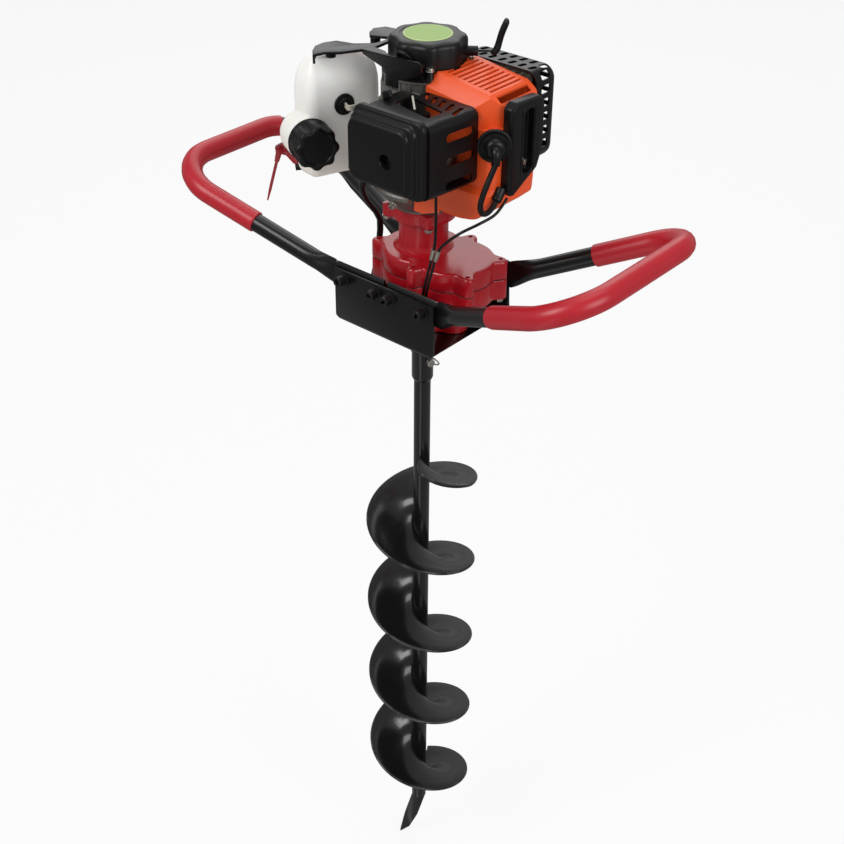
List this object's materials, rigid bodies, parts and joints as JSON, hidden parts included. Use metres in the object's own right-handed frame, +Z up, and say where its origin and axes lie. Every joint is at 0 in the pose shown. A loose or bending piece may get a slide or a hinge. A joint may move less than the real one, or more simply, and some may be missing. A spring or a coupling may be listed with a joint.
{
  "type": "earth auger",
  "caption": "One-man petrol earth auger: engine and reduction gearbox between two bent tube handles, driving a helical soil bit.",
  "frame": {"origin": "on the drive axis, at the underside of the handle bracket", "axes": "+Z up along the drive axis, +X along the bracket towards the engine's cylinder, +Y towards its muffler"},
  "size_m": [0.6641, 0.2639, 1.3294],
  "materials": {
    "black_paint": "gloss black powder coat",
    "red_grip": "satin red sleeve",
    "red_paint": "gloss red paint on a die casting",
    "black_steel": "black oxide",
    "bright_steel": "bright, satin",
    "cast_aluminium": "as cast",
    "gasket_paper": "dark gasket",
    "orange_plastic": "moulded, satin",
    "black_plastic": "moulded, satin",
    "black_rubber": "matt",
    "white_ceramic": "glazed",
    "white_tank": "translucent white, blow moulded",
    "clear_hose": "translucent hose"
  },
  "bodies": {
    "frame": {"bracket": "black_paint", "handle_left": "black_paint", "handle_right": "black_paint", "muffler_guard": "black_paint", "tank_guard": "black_paint", "grip_left": "red_grip", "grip_right": "red_grip", "gearbox_lower": "red_paint", "gearbox_upper": "red_paint", "throttle_bracket": "red_paint", "handle_bolt_1": "black_steel", "handle_bolt_2": "black_steel", "handle_bolt_3": "black_steel", "handle_bolt_4": "black_steel", "handle_bolt_5": "black_steel", "handle_bolt_6": "black_steel", "handle_bolt_7": "black_steel", "handle_bolt_8": "black_steel", "muffler": "black_steel", "case_bolt_1": "bright_steel", "case_bolt_2": "bright_steel", "case_bolt_3": "bright_steel", "case_bolt_4": "bright_steel", "case_bolt_5": "bright_steel", "case_bolt_6": "bright_steel", "output_bearing": "bright_steel", "input_bearing": "bright_steel", "crankcase": "cast_aluminium", "cylinder": "cast_aluminium", "carburettor": "cast_aluminium", "gearbox_gasket": "gasket_paper", "engine_shroud": "orange_plastic", "end_guard": "black_plastic", "air_housing": "black_plastic", "filter_cover": "black_plastic", "starter_cover": "black_plastic", "spark_boot": "black_rubber", "spark_lead": "black_rubber", "tank_grommet": "black_rubber", "control_loom": "black_rubber", "throttle_cable": "black_rubber", "stop_wire": "black_rubber", "earth_wire": "black_rubber", "spark_plug": "white_ceramic", "fuel_tank": "white_tank", "fuel_line": "clear_hose", "return_line": "clear_hose"},
    "auger": {"output_shaft": "bright_steel", "bit_tube": "black_paint", "bit_flight": "black_paint", "bit_point": "black_paint", "hitch_pin": "bright_steel"},
    "layshaft": {"countershaft": "bright_steel"},
    "clutch_bell": {"clutch_drum": "bright_steel"},
    "crank": {"crankshaft": "bright_steel", "clutch_shoes": "black_steel"},
    "throttle": {"throttle_lever": "red_paint"},
    "choke": {"choke_lever": "black_steel"},
    "filler_cap": {"fuel_cap": "black_plastic"},
    "pull_grip": {"starter_grip": "black_rubber"}
  },
  "joints": [
    {"name": "auger_spin", "type": "hinge", "parent": "frame", "child": "auger", "pos_m": [0, 0, 0], "axis": [0, 0, 1], "continuous": true},
    {"name": "layshaft_spin", "type": "hinge", "parent": "frame", "child": "layshaft", "pos_m": [0.048, 0, 0.067], "axis": [0, 0, 1], "continuous": true},
    {"name": "bell_spin", "type": "hinge", "parent": "frame", "child": "clutch_bell", "pos_m": [0, 0, 0.11], "axis": [0, 0, 1], "continuous": true},
    {"name": "crank_spin", "type": "hinge", "parent": "frame", "child": "crank", "pos_m": [0, 0, 0.248], "axis": [0, 0, 1], "continuous": true},
    {"name": "throttle_squeeze", "type": "hinge", "parent": "frame", "child": "throttle", "pos_m": [-0.32349, 0.07694, 0.10779], "axis": [-0.6553, 0.7553, 0], "range_deg": [0, 25], "stiffness_Nm_per_rad": 0.3, "springref_deg": -28.65},
    {"name": "choke_turn", "type": "hinge", "parent": "frame", "child": "choke", "pos_m": [0.03, -0.083, 0.29], "axis": [0, 1, 0], "range_deg": [0, 40]},
    {"name": "cap_turn", "type": "hinge", "parent": "frame", "child": "filler_cap", "pos_m": [-0.0622, -0.1108, 0.2396], "axis": [0.891, -0.454, 0], "range_deg": [0, 540]},
    {"name": "starter_pull", "type": "slide", "parent": "frame", "child": "pull_grip", "axis": [0.788, 0.6157, 0], "range_m": [0, 0.035], "stiffness_N_per_m": 60, "springref_m": -0.05}
  ],
  "couplings": [
    {"joint": "layshaft_spin", "follows": "auger_spin", "ratio": -5},
    {"joint": "bell_spin", "follows": "auger_spin", "ratio": 25}
  ]
}
